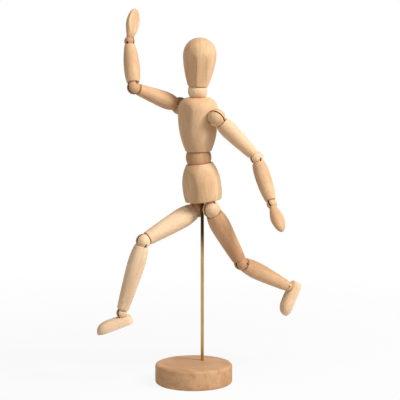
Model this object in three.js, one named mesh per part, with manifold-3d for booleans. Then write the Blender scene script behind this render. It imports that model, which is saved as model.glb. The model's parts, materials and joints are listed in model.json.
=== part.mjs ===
// Wooden artist's mannequin on a stand, in a running pose.
// Millimetres, +Z up. The origin is the middle of the base's underside and the rod
// stands towards +Y. Unturned, the figure faces -Y and its left side is towards +X.
import * as THREE from 'three';
import { mergeVertices } from 'three/addons/utils/BufferGeometryUtils.js';
import Module from 'manifold-3d';

const wasm = await Module();
wasm.setup();

const DEGREE = Math.PI / 180;

// Fits and edges
const FIT_GAP = 0.3;
const END_LAND = 0.6;
const EDGE_BREAK = 0.5;

// Facets around each kind of piece
const LIMB_SIDES = 12;
const BALL_SIDES = 14;
const BODY_SIDES = 20;
const BASE_SIDES = 36;
const WIRE_SIDES = 4;

// Stand
const BASE_RADIUS = 35;
const BASE_HEIGHT = 18;
const BASE_ROUND = 2.6;
const ROD_RADIUS = 1.5;
const ROD_BACK = 13.5;
const ROD_BASE_DEPTH = 14;
const ROD_PELVIS_DEPTH = 18;
const HIP_HEIGHT = 157.3;

// Balls
const SHOULDER_BALL = 8;
const HIP_BALL = 8;
const ELBOW_BALL = 6.1;
const KNEE_BALL = 6.6;
const WRIST_BALL = 4.7;
const ANKLE_BALL = 4.8;
const NECK_BALL = 8.75;
const NECK_FLAT = 3.6;
const WAIST_BALL = 11.6;
const WAIST_FLAT = 5.3;
const BALL_HOLE = 2.7;
const HOLE_FLARE = 1.4;
const FLARE_DEPTH = 3;

// Saw cuts in the limb balls: the long slot runs past the middle, the short one fans out
const LONG_SLOT_SHARE = 0.62;
const SHORT_SLOT_ANGLE = 58;

// Spring wire and its hooks
const WIRE_RADIUS = 0.35;
const EYE_RADIUS = 1.4;
const EYE_MOUTH_ANGLE = 50;
const EYE_END_ANGLE = 335;
const EYE_SHANK = 1.1;
const LINK_RADIUS = 1.5;
const LINK_REACH = 0.6;
const LINK_TAIL = 3.3;
const COIL_RADIUS = 1.7;
const COIL_TURNS = 4;
const COIL_CLEAR = 1.4;
const SEATED_TURNS = 3;
const SEATED_SPRING = 24;
const SEATED_LINK = 13;
const SEATED_EYE = 10;
const SLOT_WIDTH = 2 * (WIRE_RADIUS + FIT_GAP);
const COIL_BORE = COIL_RADIUS + WIRE_RADIUS + 1.5 * FIT_GAP;
const LINK_BORE = LINK_RADIUS + WIRE_RADIUS + FIT_GAP;
const EYE_BORE = WIRE_RADIUS + FIT_GAP;

// Pelvis, measured up from the hip axis
const HIP_HALF = 9.4;
const HIP_BEHIND_ROD = 2.7;
const WAIST_HEIGHT = 47.5;
const WAIST_SEAT_DROP = 5.7;
const PELVIS_BOTTOM = 7.9;
const PELVIS_TOP = WAIST_HEIGHT - WAIST_SEAT_DROP;
const PELVIS_WIDEST = 20;
const PELVIS_RADIUS = 17.6;
const PELVIS_BOTTOM_RADIUS = 16.6;
const PELVIS_TOP_RADIUS = 12;
const PELVIS_FRONT = 14.6;
const PELVIS_ROUND = 1.3;
const PELVIS_LOWER_POWER = 2;
const PELVIS_UPPER_POWER = 2.4;

// Chest, measured up from the waist ball's middle
const NECK_HEIGHT = 60;
const NECK_SEAT_DROP = 5.9;
const CHEST_BOTTOM = WAIST_FLAT + FIT_GAP;
const CHEST_TOP = NECK_HEIGHT - NECK_SEAT_DROP;
const CHEST_WIDEST = 42;
const CHEST_RADIUS = 18.1;
const CHEST_BOTTOM_RADIUS = 12.2;
const CHEST_TOP_RADIUS = 8;
const CHEST_FRONT = 16.2;
const CHEST_ROUND = 1.4;
const CHEST_LOWER_POWER = 2.5;
const CHEST_UPPER_POWER = 2.2;
const SHOULDER_HALF = 23.3;
const LEFT_SHOULDER_HEIGHT = 37;
const RIGHT_SHOULDER_HEIGHT = 45.3;
const SHOULDER_SLANT = Math.atan2(RIGHT_SHOULDER_HEIGHT - LEFT_SHOULDER_HEIGHT, 2 * SHOULDER_HALF);
const SHOULDER_SPAN = Math.hypot(RIGHT_SHOULDER_HEIGHT - LEFT_SHOULDER_HEIGHT, 2 * SHOULDER_HALF);

// Head, measured up from the neck ball's middle
const HEAD_BOTTOM = NECK_FLAT + FIT_GAP;
const HEAD_TOP = 47.6;
const HEAD_WIDEST = 31.5;
const HEAD_RADIUS = 14.95;
const HEAD_BOTTOM_RADIUS = 9.4;
const HEAD_ROUND = 1.3;
const HEAD_LOWER_POWER = 1.6;
const HEAD_UPPER_POWER = 2.2;
const FACE_ANGLE = 20;
const FACE_SLOPE_ANGLE = 12;
const FACE_DEPTH = 11.9;
const FACE_HEIGHT = 20;

// Limbs: length from ball to ball, outside radius at the rims and at the fullest place
const UPPER_ARM = {
  length: 51.5,
  upperRadius: 6.5,
  fullRadius: 7.7,
  lowerRadius: 5.3,
  fullestShare: 0.22,
  swellPower: 2,
  taperPower: 1.25,
};
const FOREARM = {
  length: 44,
  upperRadius: 5.8,
  fullRadius: 7.1,
  lowerRadius: 5,
  fullestShare: 0.4,
  swellPower: 2.8,
  taperPower: 2,
};
const THIGH = {
  length: 62,
  upperRadius: 7.7,
  fullRadius: 9.2,
  lowerRadius: 6.4,
  fullestShare: 0.24,
  swellPower: 2,
  taperPower: 1.2,
};
const SHIN = {
  length: 68,
  upperRadius: 6.5,
  fullRadius: 8,
  lowerRadius: 5.3,
  fullestShare: 0.3,
  swellPower: 2.4,
  taperPower: 1.3,
};

// Hand, measured from the wrist ball's middle
const HAND_LENGTH = 30.5;
const HAND_NECK = 3.9;
const HAND_NECK_RADIUS = 3.6;
const HAND_RADIUS = 6.3;
const HAND_WIDEST_SHARE = 0.5;
const HAND_THICKNESS_SHARE = 0.84;
const HAND_NECK_POWER = 1.3;
const HAND_TIP_POWER = 1.9;
const PALM_DEPTH = 2.7;
const PALM_SLOPE_ANGLE = 6;

// Foot, measured from the ankle ball's middle
const FOOT_LENGTH = 34;
const FOOT_WIDTH = 12.4;
const FOOT_HEIGHT = 9.2;
const HEEL_HEIGHT = 7.4;
const HEEL_BEHIND_ANKLE = 7.4;
const SOLE_BELOW_ANKLE = 11.4;
const HEEL_END_SHARE = 0.14;
const HEEL_NARROWING_SHARE = 0.7;
const HEEL_DROP_SHARE = 0.25;
const TOE_START_SHARE = 0.6;
const TOE_NARROWING_SHARE = 0.88;
const TOE_DROP_SHARE = 0.9;
const TOE_PLAN_POWER = 2.4;
const TOE_TOP_POWER = 2.2;
const ARCH_SIDE_POWER = 0.6;
const ARCH_TOP_POWER = 0.75;

// Photographed pose in degrees
const FIGURE_TURN_ANGLE = -13;
const PELVIS_LEAN = { forwardAngle: 6, sideAngle: -3 };
const WAIST = { bendAngle: -4, sideAngle: 4, turnAngle: 3 };
const NECK = { bendAngle: -3, sideAngle: 3, turnAngle: 39 };
const LEFT_SHOULDER = { rollAngle: 56, tiltAngle: -12, bendAngle: 57 };
const LEFT_ELBOW = { rollAngle: 87, tiltAngle: 4, bendAngle: 36 };
const LEFT_WRIST = { rollAngle: 27, tiltAngle: 12, bendAngle: 19, turnAngle: 69 };
const RIGHT_SHOULDER = { rollAngle: 160, tiltAngle: 0, bendAngle: 75 };
const RIGHT_ELBOW = { rollAngle: -118, tiltAngle: 0, bendAngle: 78 };
const RIGHT_WRIST = { rollAngle: 63, tiltAngle: 0, bendAngle: 17, turnAngle: -153 };
const LEFT_HIP = { rollAngle: -1, tiltAngle: 0, bendAngle: 27 };
const LEFT_KNEE = { rollAngle: 5, tiltAngle: 0, bendAngle: 32 };
const LEFT_ANKLE = { rollAngle: -14, tiltAngle: 0, bendAngle: 0, turnAngle: 0 };
const RIGHT_HIP = { rollAngle: 168, tiltAngle: 0, bendAngle: 72 };
const RIGHT_KNEE = { rollAngle: -168, tiltAngle: 0, bendAngle: 51 };
const RIGHT_ANKLE = { rollAngle: 13, tiltAngle: -20, bendAngle: 29, turnAngle: -40 };

const wood = new THREE.MeshStandardMaterial({ color: 0xd9ae84, roughness: 0.55, metalness: 0 });
const brass = new THREE.MeshStandardMaterial({ color: 0xa8783c, roughness: 0.35, metalness: 1 });
const steel = new THREE.MeshStandardMaterial({ color: 0x8d8d8a, roughness: 0.4, metalness: 1 });

// Closed skin over a stack of rings. A ring of one point is a tip. A loop joins the
// last ring to the first, otherwise both end rings get flat caps.
function skin(rings, loop = false) {
  const positions = [];
  const faces = [];
  const starts = [];
  for (const ring of rings) {
    starts.push(positions.length / 3);
    ring.forEach((point) => positions.push(point.x, point.y, point.z));
  }
  const join = (lower, upper) => {
    const count = Math.max(rings[lower].length, rings[upper].length);
    const at = (row, i) => starts[row] + (rings[row].length > 1 ? i % count : 0);
    for (let i = 0; i < count; i += 1) {
      const [a, b] = [at(lower, i), at(lower, i + 1)];
      const [c, d] = [at(upper, i + 1), at(upper, i)];
      if (a !== b) faces.push(a, b, c);
      if (c !== d) faces.push(a, c, d);
    }
  };
  for (let row = 0; row + 1 < rings.length; row += 1) join(row, row + 1);
  const last = rings.length - 1;
  if (loop) join(last, 0);
  for (let i = 1; !loop && i + 1 < rings[0].length; i += 1) {
    faces.push(starts[0], starts[0] + i + 1, starts[0] + i);
  }
  for (let i = 1; !loop && i + 1 < rings[last].length; i += 1) {
    faces.push(starts[last], starts[last] + i, starts[last] + i + 1);
  }
  const geometry = new THREE.BufferGeometry();
  geometry.setAttribute('position', new THREE.Float32BufferAttribute(positions, 3));
  geometry.setIndex(faces);
  return geometry;
}

// Turned piece around Z. The profile of [radius, height] points goes up the outside;
// it starts and ends on the axis, or it closes on itself around a bore.
function turned(profile, sides) {
  const rings = profile.map(([radius, height]) => {
    const count = radius > 0 ? sides : 1;
    return Array.from({ length: count }, (_, i) => {
      const angle = (2 * Math.PI * i) / sides;
      return new THREE.Vector3(radius * Math.cos(angle), radius * Math.sin(angle), height);
    });
  });
  return skin(rings, profile[0][0] > 0);
}

// Straight cutter around Z whose flats, not its corners, lie on the radius
function drill(radius, from, to, sides = LIMB_SIDES) {
  const corner = radius / Math.cos(Math.PI / sides);
  return turned([[0, from], [corner, from], [corner, to], [0, to]], sides);
}

// Radius of a faceted hollow that keeps the fit gap to a ball on its flats
function hollowRadius(ball, sides, step) {
  return (ball + FIT_GAP) / (Math.cos(Math.PI / sides) * Math.cos(step / 2));
}

// Round cutter for the seat of a ball
function seatCutter(ball) {
  const radius = hollowRadius(ball, BODY_SIDES, (2 * Math.PI) / BODY_SIDES);
  return new THREE.SphereGeometry(radius, BODY_SIDES, BODY_SIDES / 2);
}

function toSolid(geometry) {
  const bare = geometry.clone();
  bare.deleteAttribute('normal');
  bare.deleteAttribute('uv');
  const merged = mergeVertices(bare, 1e-4);
  const vertProperties = new Float32Array(merged.attributes.position.array);
  const triVerts = new Uint32Array(merged.index.array);
  return new wasm.Manifold(new wasm.Mesh({ numProp: 3, vertProperties, triVerts }));
}

function fromSolid(solid) {
  const { numProp, vertProperties, triVerts } = solid.getMesh();
  const positions = [];
  for (let i = 0; i < vertProperties.length; i += numProp) {
    positions.push(vertProperties[i], vertProperties[i + 1], vertProperties[i + 2]);
  }
  const geometry = new THREE.BufferGeometry();
  geometry.setAttribute('position', new THREE.Float32BufferAttribute(positions, 3));
  geometry.setIndex(Array.from(triVerts));
  return geometry;
}

function cut(body, cutters) {
  return fromSolid(cutters.reduce((left, cutter) => left.subtract(toSolid(cutter)), toSolid(body)));
}

// Everything in front of the plane y = -depth
function frontCutter(depth, low, high, reach) {
  const block = new THREE.BoxGeometry(2 * reach, reach, high - low);
  return block.translate(0, -depth - reach / 2, (low + high) / 2);
}

// Saw cut of the slot's width. The outline is drawn across and towards the opening;
// the cut lies in the XZ plane, or in the YZ plane when it is turned, and opens to a side of Z.
function sawCut(outline, isTurned, side) {
  const shape = new THREE.Shape(outline.map(([across, towards]) => new THREE.Vector2(across, towards)));
  const blade = new THREE.ExtrudeGeometry(shape, { depth: SLOT_WIDTH, bevelEnabled: false });
  blade.translate(0, 0, -SLOT_WIDTH / 2).rotateX(Math.PI / 2);
  if (side < 0) blade.rotateX(Math.PI);
  if (isTurned) blade.rotateZ(Math.PI / 2);
  return blade;
}

// Limb ball. Its long slot lies in the YZ plane and opens to the given side of Z,
// its short slot lies in the XZ plane and opens to the other side.
function slottedBall(radius, longSide) {
  const over = radius + 1;
  const deep = -LONG_SLOT_SHARE * radius;
  const long = [[-over, deep], [over, deep], [over, over], [-over, over]];
  const half = LINK_BORE;
  const behind = -LINK_REACH - WIRE_RADIUS - FIT_GAP;
  const fan = half + over * Math.tan(SHORT_SLOT_ANGLE * DEGREE);
  const short = [[-half, behind], [half, behind], [half, 0], [fan, over], [-fan, over], [-half, 0]];
  const ball = new THREE.SphereGeometry(radius, BALL_SIDES, BALL_SIDES / 2 + 1);
  return cut(ball, [sawCut(long, true, longSide), sawCut(short, false, -longSide)]);
}

// Ball cut flat on top, with a flared hole along Z for the hooks
function flatBall(radius, flat) {
  const mouth = BALL_HOLE + HOLE_FLARE;
  const high = Math.asin(flat / radius);
  const steps = 7;
  const start = Math.asin(-Math.sqrt(radius ** 2 - mouth ** 2) / radius);
  const profile = Array.from({ length: steps + 1 }, (_, i) => {
    const angle = start + ((high - start) * i) / steps;
    return [radius * Math.cos(angle), radius * Math.sin(angle)];
  });
  const inner = [[mouth, flat], [BALL_HOLE, flat - FLARE_DEPTH], [BALL_HOLE, -FLARE_DEPTH]];
  return turned([...profile, ...inner], BODY_SIDES);
}

// Wire of even thickness along a path of points
function wire(path) {
  const across = new THREE.Vector3(0.31, 0.83, 0.47);
  const rings = path.map((point, i) => {
    const before = path[Math.max(i - 1, 0)];
    const after = path[Math.min(i + 1, path.length - 1)];
    const along = after.clone().sub(before).normalize();
    across.addScaledVector(along, -across.dot(along)).normalize();
    const other = along.clone().cross(across);
    return Array.from({ length: WIRE_SIDES }, (_, k) => {
      const angle = (2 * Math.PI * k) / WIRE_SIDES;
      const offset = across.clone().multiplyScalar(WIRE_RADIUS * Math.cos(angle));
      return offset.addScaledVector(other, WIRE_RADIUS * Math.sin(angle)).add(point);
    });
  });
  return skin(rings);
}

// Hook around a ball's middle, from its free end to its shank, as [across, along] points.
// An eye runs in a long slot, a link is the bow that runs in a short slot through the eye.
function hookOutline(kind) {
  if (kind === 'eye') {
    const steps = 9;
    const arc = Array.from({ length: steps + 1 }, (_, i) => {
      const angle = (EYE_MOUTH_ANGLE + ((EYE_END_ANGLE - EYE_MOUTH_ANGLE) * i) / steps) * DEGREE;
      return [EYE_RADIUS * Math.sin(angle), EYE_RADIUS * Math.cos(angle)];
    });
    return [...arc, [0, EYE_RADIUS + EYE_SHANK]];
  }
  const steps = 6;
  const middle = LINK_RADIUS - LINK_REACH;
  const bow = Array.from({ length: steps + 1 }, (_, i) => {
    const angle = Math.PI * (1 + i / steps);
    return [LINK_RADIUS * Math.cos(angle), middle + LINK_RADIUS * Math.sin(angle)];
  });
  return [[-LINK_RADIUS, LINK_TAIL], ...bow];
}

// Hook in space: its plane is rolled about Z and its shank runs to the given side of Z
function hookPath(kind, roll, height, side) {
  return hookOutline(kind).map(([across, along]) => new THREE.Vector3(
    across * Math.cos(roll * DEGREE),
    across * Math.sin(roll * DEGREE),
    height + side * along,
  ));
}

// Extension spring that hangs from a ball at the origin to a ball at -length. Each end
// gives its hook, the hook's roll about Z and the radius of the ball it has to clear.
function spring(length, upper, lower, turns = COIL_TURNS) {
  const perTurn = 6;
  const steps = Math.round(perTurn * turns);
  const sweep = 2 * Math.PI * turns + (lower.roll - upper.roll) * DEGREE;
  const start = -upper.ball - COIL_CLEAR;
  const finish = lower.ball + COIL_CLEAR - length;
  const coil = Array.from({ length: steps + 1 }, (_, i) => {
    const angle = upper.roll * DEGREE + (sweep * i) / steps;
    const height = start + ((finish - start) * i) / steps;
    return new THREE.Vector3(COIL_RADIUS * Math.cos(angle), COIL_RADIUS * Math.sin(angle), height);
  });
  const leg = (end, height, side) => {
    const path = hookPath(end.hook, end.roll, height, side);
    const shank = path[path.length - 1].clone().setZ(height + side * end.ball);
    return [...path, shank];
  };
  const last = lower.hook ? leg(lower, -length, 1).reverse() : [];
  return wire([...leg(upper, 0, -1), ...coil, ...last]);
}

// Bent wire set in a piece: the hook at a ball's middle and its shank to a side of Z.
// A link has two legs, an eye has one.
function setWire(kind, roll, side) {
  const path = hookPath(kind, roll, 0, side);
  const reach = kind === 'eye' ? SEATED_EYE : SEATED_LINK;
  const end = path[path.length - 1].clone().setZ(side * reach);
  if (kind === 'link') path[0].setZ(side * reach);
  return wire([...path, end]);
}

// Hollow turned limb from the ball at the origin down to the ball at -length,
// with a round cup in each end and a bore for its spring
function limb(shape, upperBall, lowerBall) {
  const cupStep = 12 * DEGREE;
  const cup = (ball, rim) => {
    const radius = hollowRadius(ball, LIMB_SIDES, cupStep);
    const edge = Math.asin((rim - END_LAND - EDGE_BREAK) / radius);
    const bore = Math.asin(COIL_BORE / radius);
    const angles = [edge, (edge + bore) / 2, bore];
    return angles.map((angle) => [radius * Math.sin(angle), radius * Math.cos(angle)]);
  };
  const upperCup = cup(upperBall, shape.upperRadius);
  const lowerCup = cup(lowerBall, shape.lowerRadius);
  const top = -upperCup[0][1];
  const bottom = lowerCup[0][1] - shape.length;
  const steps = 8;
  const outside = Array.from({ length: steps + 1 }, (_, i) => {
    const down = 1 - i / steps;
    const above = Math.max(0, 1 - down / shape.fullestShare) ** shape.swellPower;
    const below = Math.max(0, (down - shape.fullestShare) / (1 - shape.fullestShare)) ** shape.taperPower;
    const upperLoss = (shape.fullRadius - shape.upperRadius) * above;
    const lowerLoss = (shape.fullRadius - shape.lowerRadius) * below;
    const height = bottom + EDGE_BREAK + (top - bottom - 2 * EDGE_BREAK) * (1 - down);
    return [shape.fullRadius - upperLoss - lowerLoss, height];
  });
  return turned([
    [shape.lowerRadius - EDGE_BREAK, bottom],
    ...outside,
    [shape.upperRadius - EDGE_BREAK, top],
    ...upperCup.map(([radius, reach]) => [radius, -reach]),
    ...lowerCup.map(([radius, reach]) => [radius, reach - shape.length]).reverse(),
  ], LIMB_SIDES);
}

function hand() {
  const steps = 9;
  const rings = Array.from({ length: steps + 1 }, (_, i) => {
    const down = 1 - i / steps;
    const above = Math.max(0, 1 - down / HAND_WIDEST_SHARE);
    const below = Math.max(0, (down - HAND_WIDEST_SHARE) / (1 - HAND_WIDEST_SHARE));
    const swelling = Math.cos(above * Math.PI / 2) ** HAND_NECK_POWER;
    const neck = HAND_NECK_RADIUS + (HAND_RADIUS - HAND_NECK_RADIUS) * swelling;
    const radius = below > 0 ? HAND_RADIUS * Math.sqrt(1 - below ** HAND_TIP_POWER) : neck;
    return [i === 0 ? 0 : radius, -HAND_NECK - (HAND_LENGTH - HAND_NECK) * down];
  });
  const body = turned([...rings, [0, -HAND_NECK]], LIMB_SIDES).scale(1, HAND_THICKNESS_SHARE, 1);
  const palm = frontCutter(PALM_DEPTH, -HAND_LENGTH, HAND_LENGTH, 2 * HAND_LENGTH);
  palm.rotateX(PALM_SLOPE_ANGLE * DEGREE).translate(0, 0, -HAND_LENGTH * HAND_WIDEST_SHARE);
  return cut(body, [palm, seatCutter(WRIST_BALL), drill(EYE_BORE, -SEATED_EYE - FIT_GAP, 0)]);
}

// Foot with its toe towards -Y: arched sections on a flat sole, from heel to toe
function foot() {
  const stations = [0, 0.05, 0.14, 0.28, 0.45, 0.62, 0.76, 0.87, 0.95, 1];
  const arch = 8;
  const rings = stations.map((way) => {
    const heel = Math.max(0, 1 - way / HEEL_END_SHARE);
    const toe = Math.max(0, (way - TOE_START_SHARE) / (1 - TOE_START_SHARE));
    const heelPlan = 1 - HEEL_NARROWING_SHARE * heel ** 2;
    const toePlan = 1 - TOE_NARROWING_SHARE * toe ** TOE_PLAN_POWER;
    const plan = Math.sqrt(heelPlan * toePlan);
    const rise = Math.min(1, way / TOE_START_SHARE);
    const top = HEEL_HEIGHT + (FOOT_HEIGHT - HEEL_HEIGHT) * Math.sin(rise * Math.PI / 2);
    const heelTop = 1 - HEEL_DROP_SHARE * heel ** 2;
    const toeTop = 1 - TOE_DROP_SHARE * toe ** TOE_TOP_POWER;
    const height = top * Math.sqrt(heelTop * toeTop);
    return Array.from({ length: arch + 1 }, (_, i) => {
      const angle = (Math.PI * i) / arch;
      const across = Math.sign(Math.cos(angle)) * Math.abs(Math.cos(angle)) ** ARCH_SIDE_POWER;
      const up = i % arch === 0 ? 0 : Math.sin(angle) ** ARCH_TOP_POWER;
      return new THREE.Vector3(
        (FOOT_WIDTH / 2) * plan * across,
        HEEL_BEHIND_ANKLE - FOOT_LENGTH * way,
        height * up - SOLE_BELOW_ANKLE,
      );
    });
  });
  return cut(skin(rings), [seatCutter(ANKLE_BALL), drill(EYE_BORE, -SEATED_EYE - FIT_GAP, 0)]);
}

// Stand
function base() {
  const quarter = [0, 1, 2, 3].map((i) => (i / 3) * Math.PI / 2);
  const inner = BASE_RADIUS - BASE_ROUND;
  const lower = quarter.map((a) => [inner + BASE_ROUND * Math.sin(a), BASE_ROUND * (1 - Math.cos(a))]);
  const upper = lower.map(([radius, height]) => [radius, BASE_HEIGHT - height]).reverse();
  const disc = turned([[0, 0], ...lower, ...upper, [0, BASE_HEIGHT]], BASE_SIDES);
  const hole = drill(ROD_RADIUS + FIT_GAP, BASE_HEIGHT - ROD_BASE_DEPTH - FIT_GAP, BASE_HEIGHT + 1);
  return cut(disc, [hole.translate(0, ROD_BACK, 0)]);
}

// Swelling profile between two heights, with a rounded lower edge and its own upper curve
function swell(low, high, widest, lowRadius, fullest, round, power, steps, upperRadius) {
  const first = low + round;
  const lower = Array.from({ length: steps }, (_, i) => {
    const height = first + ((widest - first) * i) / steps;
    const away = (widest - height) / (widest - first);
    return [fullest - (fullest - lowRadius) * away ** power, height];
  });
  const upper = Array.from({ length: steps + 1 }, (_, i) => {
    const away = Math.sin((i / steps) * Math.PI / 2);
    return [upperRadius(away), widest + (high - widest) * away];
  });
  return [[0, low], [lowRadius - round, low], ...lower, ...upper];
}

function pelvis() {
  const upper = (away) => PELVIS_RADIUS - (PELVIS_RADIUS - PELVIS_TOP_RADIUS) * away ** PELVIS_UPPER_POWER;
  const outline = swell(PELVIS_BOTTOM, PELVIS_TOP, PELVIS_WIDEST, PELVIS_BOTTOM_RADIUS, PELVIS_RADIUS,
    PELVIS_ROUND, PELVIS_LOWER_POWER, 5, upper);
  const body = turned([...outline, [0, PELVIS_TOP]], BODY_SIDES);
  const lean = new THREE.Matrix4().makeRotationFromEuler(
    new THREE.Euler(PELVIS_LEAN.forwardAngle * DEGREE, PELVIS_LEAN.sideAngle * DEGREE, 0),
  ).invert();
  const rodHole = drill(ROD_RADIUS + FIT_GAP, -PELVIS_BOTTOM, PELVIS_BOTTOM + ROD_PELVIS_DEPTH + FIT_GAP);
  rodHole.translate(0, -HIP_BEHIND_ROD, 0).applyMatrix4(lean);
  const waistHole = drill(LINK_BORE, WAIST_HEIGHT - SEATED_LINK - FIT_GAP, WAIST_HEIGHT);
  const cutters = [frontCutter(PELVIS_FRONT, 0, WAIST_HEIGHT, 2 * PELVIS_RADIUS), rodHole, waistHole];
  cutters.push(seatCutter(WAIST_BALL).translate(0, 0, WAIST_HEIGHT));
  for (const side of [-1, 1]) {
    cutters.push(seatCutter(HIP_BALL).translate(side * HIP_HALF, 0, 0));
    cutters.push(drill(LINK_BORE, 0, SEATED_LINK + FIT_GAP).translate(side * HIP_HALF, 0, 0));
  }
  return cut(body, cutters);
}

// Chest. Each shoulder ball has its own round seat, the left one lower, as photographed.
function chest() {
  const upper = (away) => {
    const left = Math.sqrt(Math.max(0, 1 - away ** CHEST_UPPER_POWER));
    return CHEST_TOP_RADIUS + (CHEST_RADIUS - CHEST_TOP_RADIUS) * left;
  };
  const outline = swell(CHEST_BOTTOM, CHEST_TOP, CHEST_WIDEST, CHEST_BOTTOM_RADIUS, CHEST_RADIUS,
    CHEST_ROUND, CHEST_LOWER_POWER, 6, upper);
  const body = turned([...outline, [0, CHEST_TOP]], BODY_SIDES);
  const crossBore = drill(COIL_BORE, 0, SHOULDER_SPAN).rotateY(-Math.PI / 2 + SHOULDER_SLANT);
  crossBore.translate(SHOULDER_HALF, 0, LEFT_SHOULDER_HEIGHT);
  const cutters = [
    frontCutter(CHEST_FRONT, 0, NECK_HEIGHT, 2 * CHEST_RADIUS),
    crossBore,
    drill(COIL_BORE, 0, SEATED_SPRING + FIT_GAP),
    drill(LINK_BORE, NECK_HEIGHT - SEATED_LINK - FIT_GAP, NECK_HEIGHT),
    seatCutter(NECK_BALL).translate(0, 0, NECK_HEIGHT),
    seatCutter(SHOULDER_BALL).translate(SHOULDER_HALF, 0, LEFT_SHOULDER_HEIGHT),
    seatCutter(SHOULDER_BALL).translate(-SHOULDER_HALF, 0, RIGHT_SHOULDER_HEIGHT),
  ];
  return cut(body, cutters);
}

// Egg-shaped head with two flat planes that meet in a ridge down the face
function head() {
  const upper = (away) => HEAD_RADIUS * Math.sqrt(Math.max(0, 1 - away ** HEAD_UPPER_POWER));
  const outline = swell(HEAD_BOTTOM, HEAD_TOP, HEAD_WIDEST, HEAD_BOTTOM_RADIUS, HEAD_RADIUS,
    HEAD_ROUND, HEAD_LOWER_POWER, 6, upper);
  const body = turned(outline, BODY_SIDES);
  const planes = [-1, 1].map((side) => {
    const plane = frontCutter(FACE_DEPTH, -HEAD_TOP, HEAD_TOP, 2 * HEAD_TOP);
    plane.rotateX(FACE_SLOPE_ANGLE * DEGREE).rotateZ(side * FACE_ANGLE * DEGREE);
    return plane.translate(0, 0, FACE_HEIGHT);
  });
  return cut(body, [...planes, drill(COIL_BORE, 0, SEATED_SPRING + FIT_GAP)]);
}

const mannequin = new THREE.Group();
mannequin.name = 'artist_mannequin';

function piece(name, geometry, material, parent) {
  const mesh = new THREE.Mesh(geometry, material);
  mesh.name = name;
  parent.add(mesh);
  return mesh;
}

function pivot(name, parent, place, turn) {
  const group = new THREE.Group();
  group.name = name;
  group.position.set(...place);
  group.rotation.set(turn[0] * DEGREE, turn[1] * DEGREE, turn[2] * DEGREE);
  parent.add(group);
  return group;
}

// Ball at the end of a shoulder, hip, wrist or ankle: it tilts on the piece above in
// its short slot, and the piece below bends in its long slot. Returns the lower frame.
function tiltThenBend(name, parent, place, radius, angles) {
  const rolled = pivot(`${name}_roll`, parent, place, [0, 0, angles.rollAngle]);
  const ball = pivot(`${name}_tilt`, rolled, [0, 0, 0], [0, angles.tiltAngle, 0]);
  piece(`${name}_ball`, slottedBall(radius, -1), wood, ball);
  return pivot(`${name}_bend`, ball, [0, 0, 0], [angles.bendAngle, 0, 0]);
}

// Ball of an elbow or knee: it bends on the piece above in its long slot, and the
// piece below tilts in its short slot. Returns the lower frame.
function bendThenTilt(name, parent, place, radius, angles) {
  const rolled = pivot(`${name}_roll`, parent, place, [0, 0, angles.rollAngle]);
  const ball = pivot(`${name}_bend`, rolled, [0, 0, 0], [angles.bendAngle, 0, 0]);
  piece(`${name}_ball`, slottedBall(radius, 1), wood, ball);
  return pivot(`${name}_tilt`, ball, [0, 0, 0], [0, angles.tiltAngle, 0]);
}

function arm(side, shoulderFrame, shoulder, elbow, wrist) {
  const upper = tiltThenBend(`${side}_shoulder`, shoulderFrame, [0, 0, 0], SHOULDER_BALL, shoulder);
  piece(`${side}_upper_arm`, limb(UPPER_ARM, SHOULDER_BALL, ELBOW_BALL), wood, upper);
  const upperSpring = spring(
    UPPER_ARM.length,
    { hook: 'eye', roll: 90, ball: SHOULDER_BALL },
    { hook: 'eye', roll: elbow.rollAngle + 90, ball: ELBOW_BALL },
  );
  piece(`${side}_upper_arm_spring`, upperSpring, steel, upper);
  const elbowPlace = [0, 0, -UPPER_ARM.length];
  const lower = bendThenTilt(`${side}_elbow`, upper, elbowPlace, ELBOW_BALL, elbow);
  piece(`${side}_forearm`, limb(FOREARM, ELBOW_BALL, WRIST_BALL), wood, lower);
  const lowerSpring = spring(
    FOREARM.length,
    { hook: 'link', roll: 0, ball: ELBOW_BALL },
    { hook: 'link', roll: wrist.rollAngle, ball: WRIST_BALL },
  );
  piece(`${side}_forearm_spring`, lowerSpring, steel, lower);
  const end = tiltThenBend(`${side}_wrist`, lower, [0, 0, -FOREARM.length], WRIST_BALL, wrist);
  piece(`${side}_wrist_eye`, setWire('eye', 90, -1), steel, end);
  piece(`${side}_hand`, hand().rotateZ(wrist.turnAngle * DEGREE), wood, end);
}

function leg(side, hipFrame, hip, knee, ankle) {
  const upper = tiltThenBend(`${side}_hip`, hipFrame, [0, 0, 0], HIP_BALL, hip);
  piece(`${side}_thigh`, limb(THIGH, HIP_BALL, KNEE_BALL), wood, upper);
  const upperSpring = spring(
    THIGH.length,
    { hook: 'eye', roll: 90, ball: HIP_BALL },
    { hook: 'eye', roll: knee.rollAngle + 90, ball: KNEE_BALL },
  );
  piece(`${side}_thigh_spring`, upperSpring, steel, upper);
  const lower = bendThenTilt(`${side}_knee`, upper, [0, 0, -THIGH.length], KNEE_BALL, knee);
  piece(`${side}_shin`, limb(SHIN, KNEE_BALL, ANKLE_BALL), wood, lower);
  const lowerSpring = spring(
    SHIN.length,
    { hook: 'link', roll: 0, ball: KNEE_BALL },
    { hook: 'link', roll: ankle.rollAngle, ball: ANKLE_BALL },
  );
  piece(`${side}_shin_spring`, lowerSpring, steel, lower);
  const end = tiltThenBend(`${side}_ankle`, lower, [0, 0, -SHIN.length], ANKLE_BALL, ankle);
  piece(`${side}_ankle_eye`, setWire('eye', 90, -1), steel, end);
  piece(`${side}_foot`, foot().rotateZ(ankle.turnAngle * DEGREE), wood, end);
}

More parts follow.
